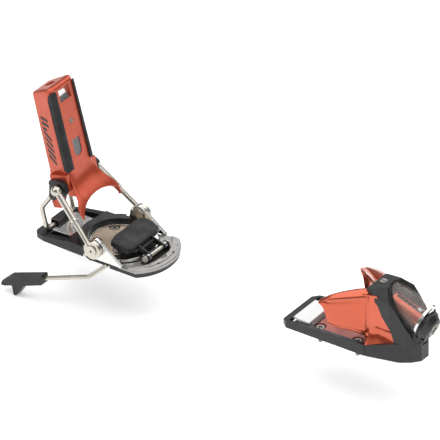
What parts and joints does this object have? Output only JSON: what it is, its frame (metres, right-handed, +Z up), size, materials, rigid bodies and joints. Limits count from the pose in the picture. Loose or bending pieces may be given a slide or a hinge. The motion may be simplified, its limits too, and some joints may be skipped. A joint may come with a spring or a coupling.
{
  "type": "alpine ski binding",
  "caption": "Alpine turntable ski binding: a toe piece with two sprung wings and a spring barrel, and a heel tower on lifting arms over a turntable and a ski brake.",
  "frame": {"origin": "on the turntable's axis, in the plane of the ski's top surface, at the centre of the heel screw pattern", "axes": "+X towards the ski's tip, +Y to the skier's left, +Z up from the ski"},
  "size_m": [0.4577, 0.11, 0.2127],
  "materials": {
    "orange_paint": "satin metallic copper orange",
    "orange_gloss": "glossy metallic copper orange",
    "black_plastic": "fine-grained black",
    "soft_black": "soft-touch black",
    "black_steel": "black oxide",
    "satin_steel": "satin",
    "bright_steel": "polished",
    "grey_cast": "fine bead-blasted",
    "bronze_plate": "brown anodised, satin",
    "maroon_plate": "dark red-brown, satin",
    "white_pad": "low-friction white",
    "clear_window": "clear, slightly smoked",
    "grey_window": "dark smoked",
    "spring_steel": "oiled wire"
  },
  "bodies": {
    "ski_base": {"heel_base_plate": "black_steel", "turntable_disc": "bronze_plate", "heel_screws": "bright_steel", "brake_housing": "grey_cast", "brake_bracket": "black_steel", "brake_pin": "satin_steel", "brake_springs": "spring_steel", "pedal_springs": "spring_steel", "toe_base": "black_plastic", "toe_deck": "maroon_plate", "toe_screws": "bright_steel", "afd_rails": "bright_steel", "toe_housing": "black_plastic", "side_panels": "orange_gloss", "wing_pins": "black_steel", "bridge_screw": "bright_steel", "barrel_window": "clear_window", "barrel_ring": "bright_steel", "spring_sleeve": "orange_gloss", "toe_spring": "spring_steel", "toe_cap": "black_plastic"},
    "turntable": {"ear_frame": "satin_steel", "ear_pins": "bright_steel", "tail_cover": "black_plastic", "bail_clip": "satin_steel"},
    "heel_arms": {"heel_arm_right": "satin_steel", "heel_arm_left": "satin_steel", "arm_collar_right": "bright_steel", "arm_collar_left": "bright_steel"},
    "heel_tower": {"tower_housing": "orange_paint", "recess_insert": "bright_steel", "release_window": "grey_window", "tower_rivet": "bright_steel", "tower_strip_right": "soft_black", "tower_strip_left": "soft_black", "heel_cup": "orange_paint", "pivot_guard_right": "black_plastic", "pivot_guard_left": "black_plastic", "treadle": "black_plastic", "main_spring": "spring_steel", "spring_piston": "black_steel"},
    "heel_adjuster": {"heel_screw": "bright_steel"},
    "heel_spring_nut": {"spring_nut": "black_steel"},
    "wire_bail": {"wire_bail": "satin_steel"},
    "brake_arms": {"brake_arm_right": "satin_steel", "brake_arm_left": "satin_steel", "brake_tip_right": "black_plastic", "brake_tip_left": "black_plastic"},
    "brake_pedal": {"pedal_pad": "black_plastic", "pedal_frame": "black_steel"},
    "toe_wing_right": {"toe_wing_right": "orange_gloss", "wing_pad_right": "soft_black"},
    "toe_wing_left": {"toe_wing_left": "orange_gloss", "wing_pad_left": "soft_black"},
    "afd_slider": {"afd_pad": "white_pad"},
    "toe_adjuster": {"toe_screw": "bright_steel"},
    "toe_pointer": {"toe_indicator": "black_plastic"}
  },
  "joints": [
    {"name": "turntable_turn", "type": "hinge", "parent": "ski_base", "child": "turntable", "pos_m": [0, 0, 0], "axis": [0, 0, 1], "range_deg": [-20, 20], "stiffness_Nm_per_rad": 3},
    {"name": "heel_arms_close", "type": "hinge", "parent": "turntable", "child": "heel_arms", "pos_m": [-0.002, 0, 0.0178], "axis": [0, -1, 0], "range_deg": [0, 8], "stiffness_Nm_per_rad": 5, "springref_deg": -17.19},
    {"name": "heel_tower_tilt", "type": "hinge", "parent": "heel_arms", "child": "heel_tower", "pos_m": [-0.05021, 0, 0.06125], "axis": [0, 1, 0], "range_deg": [0, 40.5]},
    {"name": "wire_bail_swing", "type": "hinge", "parent": "turntable", "child": "wire_bail", "pos_m": [-0.068, 0, 0.0076], "axis": [0, -1, 0], "range_deg": [0, 14]},
    {"name": "heel_screw_turn", "type": "hinge", "parent": "heel_tower", "child": "heel_adjuster", "pos_m": [-0.07643, 0, 0.14481], "axis": [-0.2588, 0, 0.9659], "range_deg": [0, 1445]},
    {"name": "heel_nut_slide", "type": "slide", "parent": "heel_tower", "child": "heel_spring_nut", "axis": [0.2588, 0, -0.9659], "range_m": [0, 0.007], "deforming": ["main_spring"]},
    {"name": "brake_pedal_press", "type": "hinge", "parent": "ski_base", "child": "brake_pedal", "pos_m": [0.042, 0, 0.011], "axis": [0, -1, 0], "range_deg": [0, 10], "stiffness_Nm_per_rad": 1.2, "springref_deg": -28.65, "deforming": ["pedal_springs"]},
    {"name": "brake_arm_swing", "type": "hinge", "parent": "ski_base", "child": "brake_arms", "pos_m": [0.01, 0, 0.00235], "axis": [0, 1, 0], "range_deg": [0, 18]},
    {"name": "toe_wing_right_open", "type": "hinge", "parent": "ski_base", "child": "toe_wing_right", "pos_m": [0.295, -0.014, 0.04], "axis": [0, 0, 1], "range_deg": [0, 20], "stiffness_Nm_per_rad": 4, "springref_deg": -5.73},
    {"name": "toe_wing_left_open", "type": "hinge", "parent": "ski_base", "child": "toe_wing_left", "pos_m": [0.295, 0.014, 0.04], "axis": [0, 0, -1], "range_deg": [0, 20], "stiffness_Nm_per_rad": 4, "springref_deg": -5.73},
    {"name": "afd_slide", "type": "slide", "parent": "ski_base", "child": "afd_slider", "axis": [0, 1, 0], "range_m": [-0.003, 0.003]},
    {"name": "toe_screw_turn", "type": "hinge", "parent": "ski_base", "child": "toe_adjuster", "pos_m": [0.34463, 0, 0.03884], "axis": [0.9397, 0, -0.342], "range_deg": [0, 1445]},
    {"name": "toe_pointer_slide", "type": "slide", "parent": "ski_base", "child": "toe_pointer", "axis": [-0.9397, 0, 0.342], "range_m": [0, 0.007], "deforming": ["toe_spring"]}
  ],
  "couplings": [
    {"joint": "heel_tower_tilt", "follows": "heel_arms_close", "ratio": 5.0418},
    {"joint": "wire_bail_swing", "follows": "heel_arms_close", "ratio": 1.7238},
    {"joint": "heel_screw_turn", "follows": "heel_nut_slide", "rad_per_m": 3590.4},
    {"joint": "brake_arm_swing", "follows": "brake_pedal_press", "ratio": 1.8},
    {"joint": "toe_screw_turn", "follows": "toe_pointer_slide", "rad_per_m": 3590.4}
  ]
}
